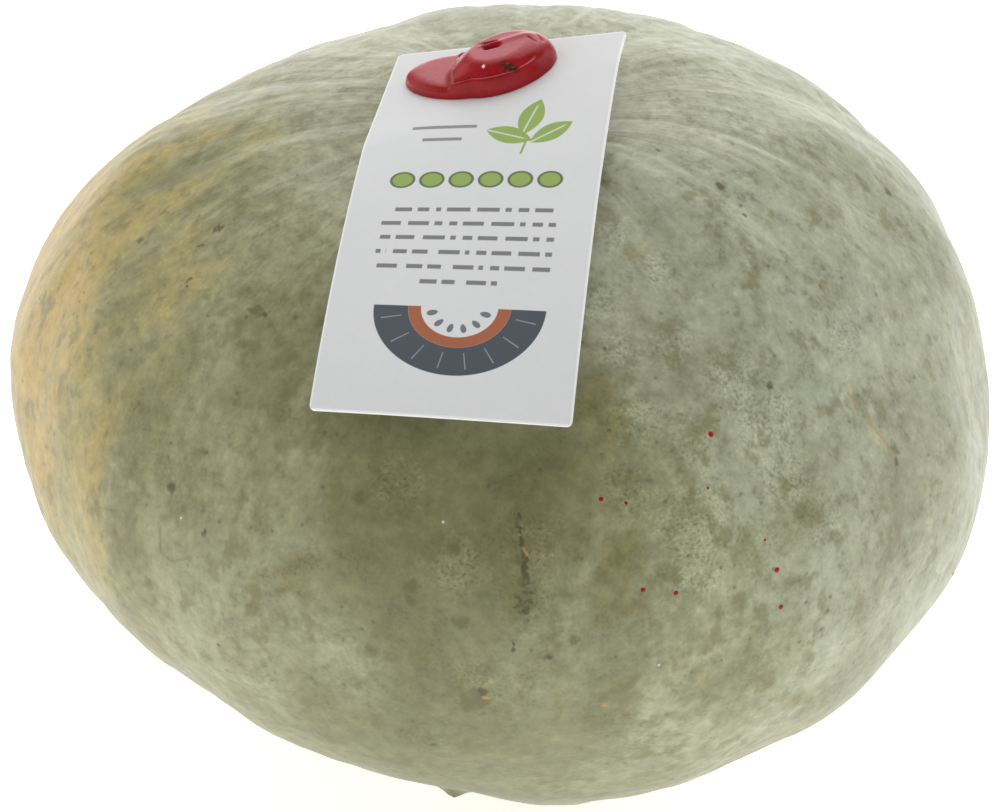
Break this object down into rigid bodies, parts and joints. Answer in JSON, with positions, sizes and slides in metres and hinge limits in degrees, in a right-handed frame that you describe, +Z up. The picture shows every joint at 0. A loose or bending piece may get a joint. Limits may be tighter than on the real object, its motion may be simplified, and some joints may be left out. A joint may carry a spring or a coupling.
{
  "type": "chestnut squash with a sealed hang card",
  "caption": "Flattened grey-green chestnut squash with faint ribs, a dry stem stub, a bent hang card over the stub and a wax seal that holds the card.",
  "frame": {"origin": "on the flat spot that the fruit rests on, under the fruit's middle", "axes": "+Z up from the resting surface, -Y to the front, where the card hangs, +X to the right as seen from the front"},
  "size_m": [0.2238, 0.2257, 0.1731],
  "materials": {
    "rind": "dull waxy grey-green rind, tan on the side it lay on",
    "cork": "dry corky stem",
    "card": "smooth coated white card",
    "wax": "glossy raspberry-red sealing wax"
  },
  "bodies": {
    "root": {"squash": "rind", "stem": "cork", "label_card": "card", "wax_seal": "wax"}
  },
  "joints": []
}
